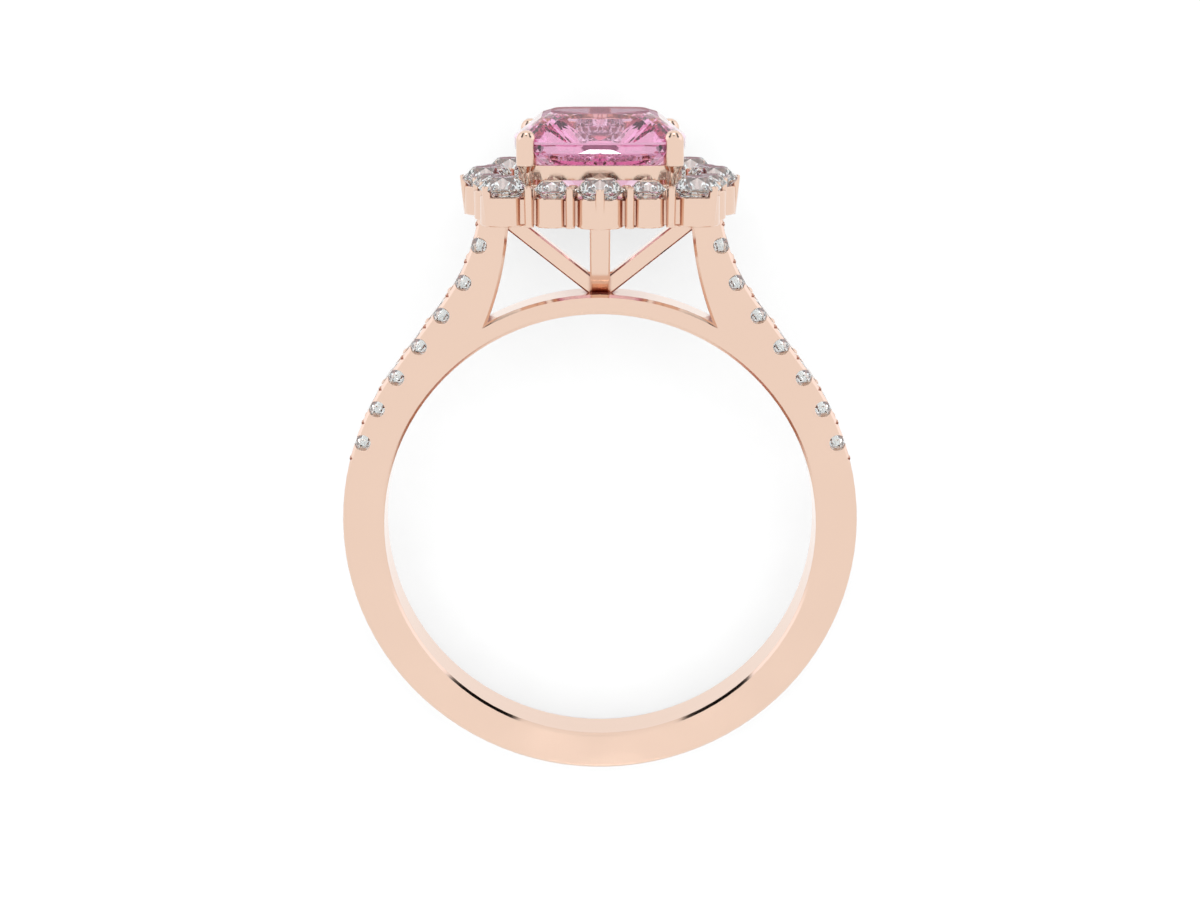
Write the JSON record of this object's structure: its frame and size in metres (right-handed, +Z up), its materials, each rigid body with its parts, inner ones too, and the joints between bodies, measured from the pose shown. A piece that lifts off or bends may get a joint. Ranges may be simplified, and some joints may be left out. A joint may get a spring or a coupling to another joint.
{
  "type": "halo ring",
  "caption": "Finger ring with a cushion-cut centre stone in a halo of round stones, on cathedral shoulders set with small stones.",
  "frame": {"origin": "centre of the object's footprint, on the surface that it lies on", "axes": "+Z up from the surface; +Y from the palm side of the band to the centre stone; X across the finger hole. The finger hole's axis leans 11 degrees from Z, because the ring rests on its halo."},
  "size_m": [0.0206, 0.0268, 0.0109],
  "materials": {
    "rose_gold": "polished",
    "pink_stone": "polished",
    "white_stone": "polished"
  },
  "bodies": {
    "root": {"mounting": "rose_gold", "centre_stone": "pink_stone", "halo_stone_1": "white_stone", "halo_stone_2": "white_stone", "halo_stone_3": "white_stone", "halo_stone_4": "white_stone", "halo_stone_5": "white_stone", "halo_stone_6": "white_stone", "halo_stone_7": "white_stone", "halo_stone_8": "white_stone", "halo_stone_9": "white_stone", "halo_stone_10": "white_stone", "halo_stone_11": "white_stone", "halo_stone_12": "white_stone", "halo_stone_13": "white_stone", "halo_stone_14": "white_stone", "halo_stone_15": "white_stone", "halo_stone_16": "white_stone", "pave_stone_1": "white_stone", "pave_stone_2": "white_stone", "pave_stone_3": "white_stone", "pave_stone_4": "white_stone", "pave_stone_5": "white_stone", "pave_stone_6": "white_stone", "pave_stone_7": "white_stone", "pave_stone_8": "white_stone", "pave_stone_9": "white_stone", "pave_stone_10": "white_stone", "pave_stone_11": "white_stone", "pave_stone_12": "white_stone", "pave_stone_13": "white_stone", "pave_stone_14": "white_stone"}
  },
  "joints": []
}
